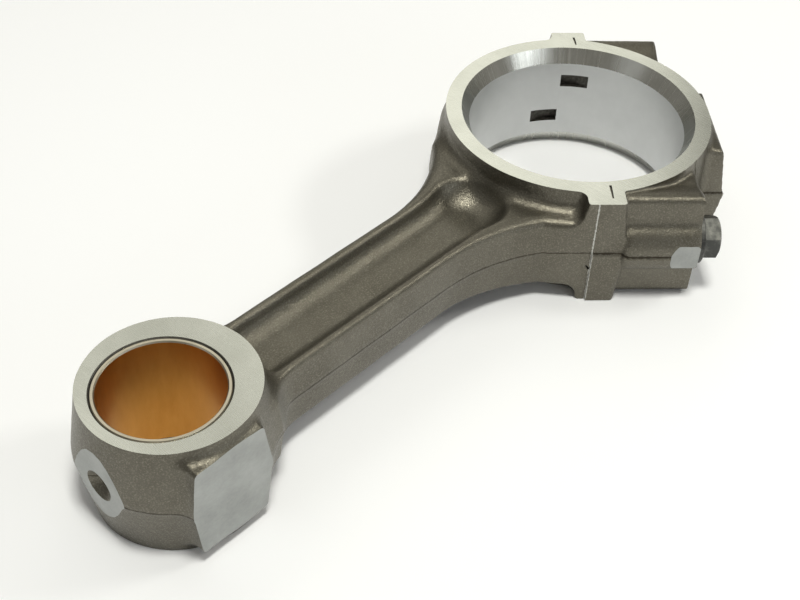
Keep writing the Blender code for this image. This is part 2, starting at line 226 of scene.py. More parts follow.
def shank_outline():
    fillet = 25.0
    edge = BEAM_HALF_WIDTH
    reach = math.sqrt((EYE_R + fillet) ** 2 - (edge + fillet) ** 2)
    x = EYE_X + reach
    turn = math.degrees(math.atan2(edge + fillet, reach))
    near = arc(x, -edge - fillet, fillet, 180.0 - turn, 90.0, 12)
    near += arc(NEAR_FLARE_X, -edge - NEAR_FLARE_R, NEAR_FLARE_R, 90.0, 57.0, 24)
    near.append(uv(2.0, EARS["near"][1] + 3.0))
    inside = [uv(2.0, 30.0), (-20.0, 25.0), (-30.0, 58.0)]
    far = arc(FAR_FLARE_X, edge + FAR_FLARE_R, FAR_FLARE_R, -44.0, -90.0, 24)
    far += arc(x, edge + fillet, fillet, -90.0, turn - 180.0, 12)
    return [(EYE_X, -20.0)] + near + inside + far + [(EYE_X, 20.0)]


def block(low_u, high_u, low_v, high_v, sign=1.0):
    corners = [(low_u, low_v), (high_u, low_v), (high_u, high_v), (low_u, high_v)]
    return [uv(u, v * sign) for u, v in corners]


def channel(field):
    """The hollow in the beam's face, with a round scoop where it meets the big end."""
    half = CHANNEL_HALF_WIDTH
    start, neck = EYE_X + 30.0, CHANNEL_END_X - 16.0
    outline = [(start, -half), (neck, -half)]
    outline += arc(CHANNEL_END_X, 0.0, half + 1.5, -80.0, 80.0, 16)
    outline += [(neck, half), (start, half)]
    height = np.abs(field.z)
    wall = field.outline(outline)[:, :, None] + CHANNEL_DRAFT * (BEAM_HALF_HEIGHT - height)
    trough = round_both(wall, WEB_HALF_THICKNESS - height, 6.5)
    x, y, z = (
        (place_at - centre) / radius
        for place_at, centre, radius in zip((field.x, field.y, height), SCOOP_CENTRE, SCOOP_RADII)
    )
    scoop = np.sqrt((x**2 + y**2)[:, :, None] + z**2)
    return weld(trough, (scoop - 1.0) * SCOOP_SLOPE, 3.0)


def pad_shape(field, span_x, sign):
    low_x, high_x = span_x
    outer = sign * (PAD_SPAN + 4.0)
    outline = [(low_x, 0.0), (high_x, 0.0), (high_x, outer), (low_x, outer)]
    return field.plate(field.outline(outline), PAD_HALF_HEIGHT, DRAFT, 2.0)


def ears(field, shape, draft, fillet):
    """Ears beside the parting face: drafted along the bolts, their outer faces left flat."""
    middle, half = (EAR_U[0] + EAR_U[1]) / 2, (EAR_U[1] - EAR_U[0]) / 2
    wall = (np.abs(field.u - middle) - half)[:, :, None] + draft * np.abs(field.z)
    for sign, span, _ in EARS.values():
        across = field.v * sign
        reach = np.maximum(across - span, 36.0 - across)[:, :, None]
        ear = round_both(wall, np.broadcast_to(reach, wall.shape), 1.1)
        shape = weld(shape, ear, fillet)
    return shape


def with_flash(field, shape, step):
    """One die half stands a little proud of the other, and the forged skin is lumpy."""
    lower = 0.5 * step * (1.0 - np.tanh((field.z + 0.3) / 0.3))
    ridge = 0.2 * np.exp(-(((field.z + 0.9) / 0.7) ** 2))
    ridge = ridge - 0.25 * np.exp(-(((field.z - 0.4) / 0.5) ** 2))
    slow = np.sin(field.x * 0.21 + np.sin(field.y * 0.13)) * np.sin(field.y * 0.17 + 2.0)
    quick = np.sin(field.x * 0.9 + 2.0 * np.sin(field.y * 0.31)) * np.sin(field.y * 1.1)
    lumps = 0.08 * slow[:, :, None] * np.sin(field.z * 0.19 + field.x[:, :, None] * 0.05)
    lumps = lumps + 0.05 * quick[:, :, None] * np.cos(field.z * 0.7)
    return np.maximum(shape - lower - ridge + lumps, np.abs(field.z) - HALF_WIDTH - 2.0)


def forge_rod():
    field = Field((-304.0, -76.0, -33.0), (64.0, 78.0, 33.0))
    low_x, high_x = SHOULDER_GROWS_X
    grow = np.clip((field.x - low_x) / (high_x - low_x), 0.0, 1.0)
    grow = grow * grow * (3.0 - 2.0 * grow)
    top = BEAM_HALF_HEIGHT + (SHOULDER_HALF_HEIGHT - BEAM_HALF_HEIGHT) * grow[:, :, None]
    shank = field.outline(shank_outline())
    near_edge = np.clip((shank + 6.0) / 6.0, 0.0, 1.2)
    fall = grow * (SHOULDER_FALL + SHOULDER_EDGE_FALL * near_edge)
    top = top - fall[:, :, None] * np.clip(field.z / 5.0, 0.0, 1.0)
    wall = shank[:, :, None] + BEAM_DRAFT * np.abs(field.z)
    wall, top = np.broadcast_arrays(wall, np.abs(field.z) - top)
    shape = round_both(wall, top, 2.6)
    shoulder = field.circle(0, 0, SHOULDER_R)
    shoulder = field.plate(shoulder, SHOULDER_PLATE_HALF_HEIGHT, DRAFT, 3.0)
    shape = weld(shape, shoulder, 3.0)
    shape = round_both(shape, -channel(field), 2.2)
    eye = field.circle(EYE_X, 0.0, EYE_R)[:, :, None] + EYE_DRAFT * np.abs(field.z)
    shape = weld(shape, eye, 7.0)
    shape = weld(shape, pad_shape(field, NEAR_PAD_X, -1.0), 4.0)
    shape = weld(shape, pad_shape(field, FAR_PAD_X, 1.0), 4.0)
    ring = field.circle(0, 0, RING_R)[:, :, None] + RING_DRAFT * np.abs(field.z)
    shape = weld(shape, ring, 5.5)
    shape = ears(field, shape, ROD_EAR_DRAFT, 4.0)
    span = EARS["far"][1] - 0.4
    lug = [(2, 45), (2, span), (-17, span), (-30, span - 3), (-42, span - 10), (-52, 45)]
    lug = field.outline([uv(u, -v) for u, v in lug])
    shape = weld(shape, field.plate(lug, LUG_HALF_HEIGHT, DRAFT, 4.0), 5.0)
    shape = np.maximum(shape, field.u[:, :, None] - 4.0)
    # The flared wall is kept level with the near ear's face, but only beside the big end.
    beyond = np.minimum(field.v - EARS["near"][1], field.u + 24.5)
    shape = np.maximum(shape, beyond[:, :, None])
    return surface("rod_forging", field, with_flash(field, shape, ROD_FLASH_STEP))


def forge_cap():
    field = Field((-60.0, -106.0, -33.0), (106.0, 60.0, 33.0))
    shape = field.circle(0, 0, RING_R)[:, :, None] + RING_DRAFT * np.abs(field.z)
    rib = field.outline(block(40.0, RIB_U, -RIB_HALF_SPAN, RIB_HALF_SPAN))
    shape = weld(shape, field.plate(rib, RIB_HALF_HEIGHT, DRAFT, 2.2), 3.5)
    for sign, _, span in EARS.values():
        outline = field.outline(block(1.0, SEAT_U + 1.5, 38.0, span, sign))
        wall = outline[:, :, None] + BOSS_DRAFT * np.abs(field.z)
        dish = np.clip((65.0 - field.v * sign) / 13.0, 0.0, 1.0)
        dish = BOSS_DISH * dish * dish * (3.0 - 2.0 * dish)
        top = np.abs(field.z) + dish[:, :, None] - BOSS_HALF_HEIGHT
        boss = round_both(*np.broadcast_arrays(wall, top), 3.4)
        bulge = field.rod_along_bolt(sign * BOLT_V, BULGE_START_U, SEAT_U + 1.5, BULGE_R, 3.0)
        under = np.broadcast_to(BULGE_LOW_Z - field.z, bulge.shape)
        bulge = round_both(bulge, under, 1.5)
        shape = weld(shape, weld(boss, bulge, 1.8), 2.2)
    shape = ears(field, shape, CAP_EAR_DRAFT, 0.9)
    shape = np.maximum(shape, -4.0 - field.u[:, :, None])
    return surface("cap_forging", field, with_flash(field, shape, CAP_FLASH_STEP))


def surface(name, field, values):
    """The mesh where the field is zero: one point in each grid cell that it crosses."""
    inside = values < 0.0
    shape = tuple(n - 1 for n in values.shape)
    total = np.zeros(shape + (3,), np.float32)
    count = np.zeros(shape, np.int8)
    corners = [(i, j, k) for i in (0, 1) for j in (0, 1) for k in (0, 1)]

    def corner(grid, at):
        return grid[tuple(slice(o, o + n) for o, n in zip(at, shape))]

    for axis in range(3):
        for at in corners:
            if at[axis]:
                continue
            to = tuple(o + (i == axis) for i, o in enumerate(at))
            crossed = corner(inside, at) != corner(inside, to)
            a, b = corner(values, at)[crossed], corner(values, to)[crossed]
            point = np.tile(np.array(at, np.float32), (a.size, 1))
            point[:, axis] += a / (a - b)
            total[crossed] += point
            count[crossed] += 1
    used = count > 0
    index = np.full(shape, -1, np.int64)
    index[used] = np.arange(used.sum())
    cells = np.argwhere(used)
    points = (cells + total[used] / count[used][:, None]) * GRID + field.low
    quads = []
    for axis in range(3):
        one = tuple(int(i == axis) for i in range(3))
        b, c = [(axis + 1) % 3, (axis + 2) % 3]
        first = inside[tuple(slice(0, -1) if i == axis else slice(1, -1) for i in range(3))]
        second = inside[tuple(slice(1, None) if i == axis else slice(1, -1) for i in range(3))]
        start = np.argwhere(first != second)
        outward = first[first != second]
        start[:, b] += 1
        start[:, c] += 1
        around = []
        for db, dc in ((-1, -1), (0, -1), (0, 0), (-1, 0)):
            cell = start.copy()
            cell[:, b] += db
            cell[:, c] += dc
            around.append(index[tuple(cell.T)])
        around = np.stack(around, 1)
        around[~outward] = around[~outward][:, ::-1]
        quads.append(around)
    return mesh_from(name, points * MM, np.concatenate(quads))


def mesh_from(name, points, quads):
    mesh = bpy.data.meshes.new(name)
    mesh.vertices.add(len(points))
    mesh.vertices.foreach_set("co", points.astype(np.float32).ravel())
    mesh.loops.add(quads.size)
    mesh.loops.foreach_set("vertex_index", quads.astype(np.int32).ravel())
    mesh.polygons.add(len(quads))
    width = quads.shape[1]
    mesh.polygons.foreach_set("loop_start", np.arange(0, quads.size, width, dtype=np.int32))
    mesh.update(calc_edges=True)
    return mesh


# --- machining tools ------------------------------------------------------------------------


def new_object(name, mesh):
    obj = bpy.data.objects.new(name, mesh)
    bpy.context.scene.collection.objects.link(obj)
    return obj


def turned_mesh(name, profile, steps):
    """A solid turned about local Z. The (radius, height) points run top to bottom."""
    form = bmesh.new()
    rings = []
    for radius, height in profile:
        if radius < 1e-6:
            rings.append([form.verts.new((0.0, 0.0, height * MM))])
            continue
        turns = [2.0 * math.pi * i / steps for i in range(steps)]
        rings.append(
            [
                form.verts.new((radius * math.cos(t) * MM, radius * math.sin(t) * MM, height * MM))
                for t in turns
            ]
        )
    for a, b in zip(rings, rings[1:]):
        for i in range(steps):
            j = (i + 1) % steps
            corners = [a[i % len(a)], b[i % len(b)], b[j % len(b)], a[j % len(a)]]
            corners = list(dict.fromkeys(corners))
            if len(corners) > 2:
                form.faces.new(corners)
    bmesh.ops.recalc_face_normals(form, faces=form.faces)
    mesh = bpy.data.meshes.new(name)
    form.to_mesh(mesh)
    form.free()
    return mesh


def turned_tool(name, profile, steps, matrix):
    tool = new_object(name, turned_mesh(name, profile, steps))
    tool.matrix_world = millimetres(matrix)
    return tool


def millimetres(matrix):
    scaled = matrix.copy()
    scaled.translation *= MM
    return scaled


def bar_tool(name, radius, low, high, matrix, steps=48):
    return turned_tool(name, [(0, high), (radius, high), (radius, low), (0, low)], steps, matrix)


def box_tool(name, low, high, matrix=None):
    form = bmesh.new()
    bmesh.ops.create_cube(form, size=1.0)
    for vert in form.verts:
        vert.co = Vector([(low[i] if vert.co[i] < 0 else high[i]) * MM for i in range(3)])
    mesh = bpy.data.meshes.new(name)
    form.to_mesh(mesh)
    form.free()
    tool = new_object(name, mesh)
    tool.matrix_world = millimetres(matrix or Matrix.Identity(4))
    return tool


def machine(name, blank, tools):
    """The blank with each tool's shape cut from it."""
    work = new_object(name, blank)
    for tool in tools:
        cut = work.modifiers.new(tool.name, "BOOLEAN")
        cut.operation = "DIFFERENCE"
        cut.solver = "MANIFOLD"
        cut.object = tool
    bpy.context.view_layer.update()
    graph = bpy.context.evaluated_depsgraph_get()
    cut_mesh = bpy.data.meshes.new_from_object(work.evaluated_get(graph))
    work.modifiers.clear()
    work.data = cut_mesh
    cut_mesh.name = name
    for tool in tools:
        bpy.data.objects.remove(tool, do_unlink=True)
    return work


def crank_bore_tool(name):
    past = 6.0
    mouth = CRANK_R + CHAMFER * (1.0 + past / CHAMFER_DEPTH)
    top = HALF_WIDTH + past
    step = HALF_WIDTH - CHAMFER_DEPTH
    edge = 0.35
    profile = [(0, top), (mouth, top), (CRANK_R + edge, step + 0.2), (CRANK_R, step - edge)]
    profile += [(CRANK_R, edge - step), (CRANK_R + edge, -step - 0.2), (mouth, -top), (0, -top)]
    return turned_tool(name, profile, 288, Matrix.Identity(4))


def end_faces(name):
    """The two milling cuts that bring the ends to width."""
    return [
        box_tool(f"{name}_top", (-400, -200, HALF_WIDTH), (200, 200, 60)),
        box_tool(f"{name}_bottom", (-400, -200, -60), (200, 200, -HALF_WIDTH)),
    ]


def slot_tool(name, z):
    """The bearing tang slot, as a milling disc leaves it."""
    half = SLOT_HALF_WIDTH
    reach = (CRANK_R + SLOT_DEPTH - SLOT_DISC_R) * math.cos(SPLIT)
    profile = [(0, half), (SLOT_DISC_R, half), (SLOT_DISC_R, -half), (0, -half)]
    return turned_tool(name, profile, 96, Matrix.Translation((reach, reach, z)))


def machined_rod():
    tools = end_faces("rod_end")
    tools.append(crank_bore_tool("rod_crank_bore"))
    tools.append(box_tool("rod_parting", (-150, -60, -SPLIT_GAP / 2), (150, 60, 150), uv_frame()))
    tools.append(slot_tool("rod_slot", ROD_SLOT_Z))
    tools.append(box_tool("tip_face", (-400, -100, -60), (TIP_X, 100, 60)))
    tools.append(box_tool("near_pad_face", (-300, -100, -60), (-230, -PAD_SPAN, 60)))
    tools.append(box_tool("far_pad_face", (-300, PAD_SPAN, -60), (-230, 100, 60)))
    bore_r = BUSH_OUTER_R + 0.3
    top = HALF_WIDTH + 4.0
    lip = 0.45
    profile = [(0, top), (bore_r + lip + 4.0, top), (bore_r, HALF_WIDTH - lip)]
    profile += [(r, -z) for r, z in reversed(profile)]
    tools.append(turned_tool("pin_bore", profile, 192, Matrix.Translation((-CENTRES, 0, 0))))
    sink = [(0, 6), (OIL_SINK_R + 6, 6), (OIL_HOLE_R, OIL_HOLE_R - OIL_SINK_R)]
    sink += [(OIL_HOLE_R, -20), (0, -20)]
    inward = Matrix.Translation((TIP_X, 0, 0)) @ Matrix.Rotation(math.radians(-90), 4, "Y")
    tools.append(turned_tool("oil_hole", sink, 64, inward))
    for side, (sign, _, _) in EARS.items():
        axis = uv_frame(0, sign * BOLT_V)
        tools.append(
            bar_tool(f"rod_bolt_hole_{side}", BOLT_HOLE_R, -BOLT_REACH - 3, 10, axis)
        )
    tools.append(nick_tool())
    return machine("rod", forge_rod(), tools)


def machined_cap():
    tools = end_faces("cap_end")
    tools.append(crank_bore_tool("cap_crank_bore"))
    tools.append(box_tool("cap_parting", (-150, -60, -150), (150, 60, SPLIT_GAP / 2), uv_frame()))
    tools.append(slot_tool("cap_slot", CAP_SLOT_Z))
    for side, (sign, _, _) in EARS.items():
        axis = uv_frame(0, sign * BOLT_V)
        tools.append(bar_tool(f"cap_bolt_hole_{side}", BOLT_HOLE_R, -10, 80, axis))
        low, high = sorted((sign * 40.0, sign * 120.0))
        seat = box_tool(f"cap_seat_{side}", (low, -100, SEAT_U), (high, 100, 100), uv_frame())
        outward = Matrix.Rotation(math.radians(90.0 * sign), 4, "Y")
        outward = uv_frame(SPOT_U, sign * SPOT_V, SPOT_Z) @ outward
        tools += [seat, bar_tool(f"cap_spot_{side}", SPOT_R, 0, 40, outward, 64)]
    return machine("cap", forge_cap(), tools + dash_tools())


def stroke_tool(name, start, end, outward, half_wide, half_narrow, depth):
    """A struck mark from start to end, (u, v, z) points of a face, tapering along its length."""
    start, end = (Vector((*uv(u, v), z)) for u, v, z in (start, end))
    along = (end - start).normalized()
    across = outward.cross(along)
    form = bmesh.new()
    layers = []
    for height, share in ((depth, 1.0), (-depth, 0.4)):
        corners = []
        for place_at, half in ((start, half_wide), (end, half_narrow)):
            inset = along * (1.0 - share) * (half_wide if place_at is start else -half_narrow)
            for side in (-1.0, 1.0) if place_at is start else (1.0, -1.0):
                at = place_at + inset + across * side * half * share + outward * height
                corners.append(form.verts.new(at * MM))
        layers.append(corners)
        form.faces.new(corners)
    for i in range(4):
        j = (i + 1) % 4
        form.faces.new((layers[0][i], layers[0][j], layers[1][j], layers[1][i]))
    bmesh.ops.recalc_face_normals(form, faces=form.faces)
    mesh = bpy.data.meshes.new(name)
    form.to_mesh(mesh)
    form.free()
    return new_object(name, mesh)


def dash_tools():
    """The struck witness marks across the cap's two ears."""
    up = Vector((0.0, 0.0, 1.0))
    near = ((DASH_U - 0.05, 59.0, HALF_WIDTH), (DASH_U - 0.15, 68.9, HALF_WIDTH))
    far = ((DASH_U - 0.15, -66.8, HALF_WIDTH), (DASH_U + 0.2, -59.4, HALF_WIDTH))
    return [
        stroke_tool("dash_near", *near, up, 0.85, 0.55, 0.7),
        stroke_tool("dash_far", *far, up, 0.8, 0.55, 0.7),
    ]


def nick_tool():
    """A chisel nick on the rod's near ear."""
    face = EARS["near"][1] + 0.5 * ROD_FLASH_STEP
    outward = Vector((*uv(0.0, 1.0), 0.0))
    start = (NICK_U - 0.95, face, NICK_Z + 1.4)
    end = (NICK_U + 0.95, face, NICK_Z - 1.4)
    return stroke_tool("nick", start, end, outward, 0.6, 0.8, 1.1)


# --- which face is forged and which machined ------------------------------------------------

# The last kind is painted dark: painted shade inside holes, tang slots, struck marks, the nick and
# the groove beside the bush.
FORGED, MILLED, TURNED, BORED, SPOTTED, SPLIT_FACE, SHADED_RECESS = range(7)


def face_kinds(mesh, rod):
    count = len(mesh.polygons)
    centre = np.empty(count * 3, np.float32)
    normal = np.empty(count * 3, np.float32)
    mesh.polygons.foreach_get("center", centre)
    mesh.polygons.foreach_get("normal", normal)
    x, y, z = centre.reshape(-1, 3).T / MM
    nx, ny, nz = normal.reshape(-1, 3).T
    u = x * math.cos(SPLIT) + y * math.sin(SPLIT)
    v = x * math.sin(SPLIT) - y * math.cos(SPLIT)
    nu = nx * math.cos(SPLIT) + ny * math.sin(SPLIT)
    nv = nx * math.sin(SPLIT) - ny * math.cos(SPLIT)
    kind = np.zeros(count, np.int32)
    from_crank = np.hypot(x, y)
    facing_in = (nx * x + ny * y) / np.maximum(from_crank, 1.0) < -0.3
    kind[(np.abs(np.abs(z) - HALF_WIDTH) < 0.01) & (np.abs(nz) > 0.99)] = MILLED
    step = HALF_WIDTH - CHAMFER_DEPTH
    in_bore = facing_in & (from_crank < CRANK_R + CHAMFER + 0.2)
    kind[in_bore & (np.abs(z) > step - 0.4)] = TURNED
    kind[in_bore & (np.abs(z) <= step - 0.4) & (from_crank < CRANK_R + 0.05)] = BORED
    parting = (np.abs(np.abs(u) - SPLIT_GAP / 2) < 0.01) & (np.abs(nu) > 0.99)
    kind[parting] = SPLIT_FACE
    # Tang slots and bolt holes take the dark painted shade of the last kind.
    slot = (from_crank > CRANK_R + 0.05) & (from_crank < CRANK_R + 4) & (kind == FORGED)
    kind[slot & (np.abs(v) > 40) & (np.abs(u) < 16) & (v < 0) & (np.abs(z) < 16)] = SHADED_RECESS
    holes = np.hypot(np.abs(v) - BOLT_V, z) < BOLT_HOLE_R + 0.05
    holes &= (kind == FORGED) & (np.abs(v) > 40) & (u > -BOLT_REACH - 4.0)
    kind[holes] = SHADED_RECESS
    if rod:
        pads = (np.abs(np.abs(y) - PAD_SPAN) < 0.01) & (np.abs(ny) > 0.99) & (x < -200)
        kind[pads | ((np.abs(x - TIP_X) < 0.01) & (nx < -0.99))] = SPOTTED
        from_pin = np.hypot(x + CENTRES, y)
        kind[(from_pin < BUSH_OUTER_R + 0.3) & (kind == FORGED)] = BORED
        # The groove beside the bush, the oil hole and the nick take the same dark painted shade.
        lips = (from_pin < BUSH_OUTER_R + 1.5) & (kind == FORGED) & (np.abs(z) > 27)
        kind[lips] = SHADED_RECESS
        oil = (np.hypot(y, z) < OIL_SINK_R + 0.1) & (x < -280) & (kind == FORGED)
        kind[oil & (np.hypot(y, z) < OIL_HOLE_R + 0.05)] = SHADED_RECESS
        nick = (kind == FORGED) & (v > 71.4) & (v < 72.75) & (np.abs(u - NICK_U) < 2.0)
        kind[nick & (np.abs(z - NICK_Z) < 2.4)] = SHADED_RECESS
    else:
        seats = (np.abs(u - SEAT_U) < 0.01) & (nu > 0.99)
        spots = (np.abs(np.abs(v) - SPOT_V) < 0.01) & (np.abs(nv) > 0.99) & (u > 30.0)
        kind[seats | spots] = SPOTTED
        # The struck marks take the same dark painted shade.
        struck = (kind == FORGED) & (z > HALF_WIDTH - 0.7) & (np.abs(u - DASH_U) < 1.5)
        kind[struck & (np.abs(v) > 58) & (np.abs(v) < 70)] = SHADED_RECESS
    return kind


def finish_faces(obj, materials, rod):
    mesh = obj.data
    kinds = face_kinds(mesh, rod)
    mesh.materials.clear()
    for made in materials:
        mesh.materials.append(made)
    mesh.polygons.foreach_set("material_index", kinds)
    mesh.shade_smooth()
    form = bmesh.new()
    form.from_mesh(mesh)
    for edge in form.edges:
        faces = edge.link_faces
        if len(faces) == 2:
            apart = faces[0].material_index != faces[1].material_index
            edge.smooth = not apart and edge.calc_face_angle(0.0) < math.radians(35)
    form.to_mesh(mesh)
    form.free()


# --- materials ------------------------------------------------------------------------------


class Nodes:
    """Short names for the node graph of one material."""

    def __init__(self, name, roughness, metallic):
        self.material = bpy.data.materials.new(name)
        self.material.use_nodes = True
        self.tree = self.material.node_tree
        self.shader = self.tree.nodes["Principled BSDF"]
        self.shader.inputs["Roughness"].default_value = roughness
        self.shader.inputs["Metallic"].default_value = metallic
        self.coords = self.tree.nodes.new("ShaderNodeTexCoord").outputs["Object"]

    def link(self, source, target):
        self.tree.links.new(source, target)

    def mapped(self, scale, turn=0.0):
        node = self.tree.nodes.new("ShaderNodeMapping")
        node.inputs["Scale"].default_value = scale
        node.inputs["Rotation"].default_value = (0.0, 0.0, turn)
        self.link(self.coords, node.inputs["Vector"])
        return node.outputs["Vector"]

    def noise(self, vector, scale, detail=3.0, rough=0.55):
        node = self.tree.nodes.new("ShaderNodeTexNoise")
        node.inputs["Scale"].default_value = scale
        node.inputs["Detail"].default_value = detail
        node.inputs["Roughness"].default_value = rough
        self.link(vector, node.inputs["Vector"])
        return node.outputs["Fac"]

    def cells(self, scale):
        node = self.tree.nodes.new("ShaderNodeTexVoronoi")
        node.inputs["Scale"].default_value = scale
        self.link(self.coords, node.inputs["Vector"])
        return node.outputs["Distance"]

    def span(self, value, low, high, to_low, to_high):
        node = self.tree.nodes.new("ShaderNodeMapRange")
        for key, number in (("From Min", low), ("From Max", high)):
            node.inputs[key].default_value = number
        node.inputs["To Min"].default_value = to_low
        node.inputs["To Max"].default_value = to_high
        self.link(value, node.inputs["Value"])
        return node.outputs["Result"]

    def blend(self, factor, a, b):
        node = self.tree.nodes.new("ShaderNodeMix")
        node.data_type = "RGBA"
        self.link(factor, node.inputs["Factor"])
        for key, value in (("A", a), ("B", b)):
            socket = [s for s in node.inputs if s.name == key and s.type == "RGBA"][0]
            if isinstance(value, tuple):
                socket.default_value = value + (1.0,)
            else:
                self.link(value, socket)
        return [s for s in node.outputs if s.type == "RGBA"][0]

    def near_zero(self, direction, width, ragged):
        """1 close to the plane through the part's origin across direction, fading to 0."""
        along = self.tree.nodes.new("ShaderNodeVectorMath")
        along.operation = "DOT_PRODUCT"
        self.link(self.coords, along.inputs[0])
        along.inputs[1].default_value = direction
        size = self.tree.nodes.new("ShaderNodeMath")
        size.operation = "ABSOLUTE"
        self.link(along.outputs["Value"], size.inputs[0])
        edge = self.span(ragged, 0.3, 0.7, 0.25 * width, width)
        share = self.tree.nodes.new("ShaderNodeMath")
        share.operation = "DIVIDE"
        share.use_clamp = True
        self.link(size.outputs["Value"], share.inputs[0])
        self.link(edge, share.inputs[1])
        return self.span(share.outputs["Value"], 0.6, 1.0, 1.0, 0.0)

    def turn_about_axis(self, scale):
        """Noise that changes only with the angle about the part's own Z axis."""
        flat = self.mapped((1.0, 1.0, 0.0))
        unit = self.tree.nodes.new("ShaderNodeVectorMath")
        unit.operation = "NORMALIZE"
        self.link(flat, unit.inputs[0])
        return self.noise(unit.outputs["Vector"], scale, 3.0)

    def bump(self, height, strength, distance, before=None):
        node = self.tree.nodes.new("ShaderNodeBump")
        node.inputs["Strength"].default_value = strength
        node.inputs["Distance"].default_value = distance
        self.link(height, node.inputs["Height"])
        if before is not None:
            self.link(before, node.inputs["Normal"])
        return node.outputs["Normal"]

    def done(self, colour=None, roughness=None, normal=None):
        for key, value in (("Base Color", colour), ("Roughness", roughness), ("Normal", normal)):
            if value is not None:
                self.link(value, self.shader.inputs[key])
        return self.material


def forged_steel():
    n = Nodes("forged_steel", 0.4, 0.92)
    grain = n.noise(n.coords, 1500.0, 4.0, 0.7)
    coarse = n.noise(n.coords, 420.0, 3.0, 0.6)
    patches = n.noise(n.coords, 38.0, 4.0, 0.6)
    colour = n.blend(n.span(patches, 0.3, 0.7, 0, 1), (0.118, 0.109, 0.087), (0.158, 0.148, 0.122))
    colour = n.blend(n.span(grain, 0.5, 0.75, 0, 1), colour, (0.27, 0.252, 0.205))
    # A dark line painted along the die parting at mid-height: painted shade of the step and groove
    # where the halves meet.
    flash_shade = n.near_zero((0.0, 0.0, 1.0), 0.0007, coarse)
    colour = n.blend(flash_shade, colour, (0.06, 0.052, 0.04))
    parted = n.near_zero((0.70711, -0.70711, 0.0), 0.00062, n.noise(n.coords, 900.0, 2.0))
    colour = n.blend(parted, colour, (0.5, 0.5, 0.47))
    rough = n.span(grain, 0.3, 0.7, 0.48, 0.3)
    normal = n.bump(n.cells(900.0), 0.35, 0.0002)
    normal = n.bump(coarse, 0.3, 0.0004, normal)
    normal = n.bump(grain, 0.6, 0.00022, normal)
    return n.done(colour, rough, normal)


def milled_steel():
    n = Nodes("milled_steel", 0.24, 1.0)
    lines = n.noise(n.mapped((2400.0, 22.0, 900.0), 0.5), 2.0, 2.0, 0.5)
    stain = n.noise(n.coords, 48.0, 4.0)
    colour = n.blend(n.span(stain, 0.3, 0.7, 0, 1), (0.52, 0.53, 0.48), (0.6, 0.61, 0.56))
    rough = n.span(lines, 0.3, 0.7, 0.2, 0.3)
    return n.done(colour, rough, n.bump(lines, 0.12, 0.00002))


def turned_steel():
    n = Nodes("turned_steel", 0.22, 1.0)
    rings = n.noise(n.mapped((3.0, 3.0, 5200.0)), 1.0, 2.0, 0.5)
    chatter = n.turn_about_axis(46.0)
    stain = n.noise(n.coords, 60.0, 3.0)
    colour = n.blend(n.span(stain, 0.35, 0.7, 0, 1), (0.56, 0.56, 0.52), (0.68, 0.68, 0.64))
    rough = n.span(chatter, 0.3, 0.7, 0.17, 0.3)
    normal = n.bump(chatter, 0.3, 0.00012)
    return n.done(colour, rough, n.bump(rings, 0.12, 0.00002, normal))


def bored_steel():
    n = Nodes("bored_steel", 0.42, 1.0)
    rings = n.noise(n.mapped((14.0, 14.0, 2600.0)), 1.0, 2.0, 0.6)
    cloud = n.noise(n.coords, 42.0, 4.0)
    colour = n.blend(n.span(cloud, 0.3, 0.7, 0, 1), (0.54, 0.55, 0.55), (0.64, 0.65, 0.65))
    rough = n.span(cloud, 0.3, 0.7, 0.38, 0.5)
    return n.done(colour, rough, n.bump(rings, 0.1, 0.00002))


def spotted_steel():
    n = Nodes("spot_milled_steel", 0.5, 1.0)
    grain = n.noise(n.mapped((260.0, 420.0, 420.0), 0.3), 2.5, 4.0, 0.6)
    cloud = n.noise(n.coords, 70.0, 3.0)
    colour = n.blend(n.span(cloud, 0.3, 0.7, 0, 1), (0.33, 0.34, 0.33), (0.42, 0.43, 0.42))
    rough = n.span(grain, 0.3, 0.7, 0.44, 0.58)
    return n.done(colour, rough, n.bump(grain, 0.2, 0.00005))


def fractured_steel():
    n = Nodes("fractured_steel", 0.5, 1.0)
    grain = n.noise(n.coords, 900.0, 6.0, 0.8)
    colour = n.blend(n.span(grain, 0.35, 0.7, 0, 1), (0.3, 0.3, 0.29), (0.62, 0.62, 0.6))
    return n.done(colour, n.span(grain, 0.3, 0.7, 0.35, 0.6), n.bump(grain, 0.9, 0.0005))


def shaded_steel():
    """A dark colour painted as shade inside drilled holes, tang slots, struck marks and the groove
    beside the bush.
    """
    n = Nodes("shaded_steel", 0.5, 0.8)
    grain = n.noise(n.coords, 700.0, 3.0)
    colour = n.blend(n.span(grain, 0.3, 0.7, 0, 1), (0.045, 0.042, 0.036), (0.1, 0.095, 0.085))
    return n.done(colour, None, n.bump(grain, 0.4, 0.0001))


def bronze(name, low, high, roughness):
    n = Nodes(name, roughness, 1.0)
    streaks = n.noise(n.mapped((70.0, 70.0, 22.0)), 1.0, 5.0, 0.65)
    scratches = n.noise(n.mapped((20.0, 20.0, 2400.0)), 1.0, 3.0, 0.6)
    colour = n.blend(n.span(streaks, 0.3, 0.7, 0, 1), low, high)
    rough = n.span(streaks, 0.3, 0.7, roughness - 0.06, roughness + 0.08)
    return n.done(colour, rough, n.bump(scratches, 0.15, 0.00003))


def black_oxide(name, roughness, low, high):
    n = Nodes(name, roughness, 0.9)
    grain = n.noise(n.coords, 500.0, 4.0)
    worn = n.noise(n.coords, 160.0, 5.0, 0.7)
    colour = n.blend(n.span(worn, 0.42, 0.72, 0, 1), low, high)
    rough = n.span(grain, 0.3, 0.7, roughness - 0.08, roughness + 0.1)
    return n.done(colour, rough, n.bump(grain, 0.3, 0.00006))


# --- small pieces ---------------------------------------------------------------------------


def place(obj, matrix=None):
    obj.matrix_world = Matrix.Translation(ORIGIN) @ millimetres(matrix or Matrix.Identity(4))
    return obj


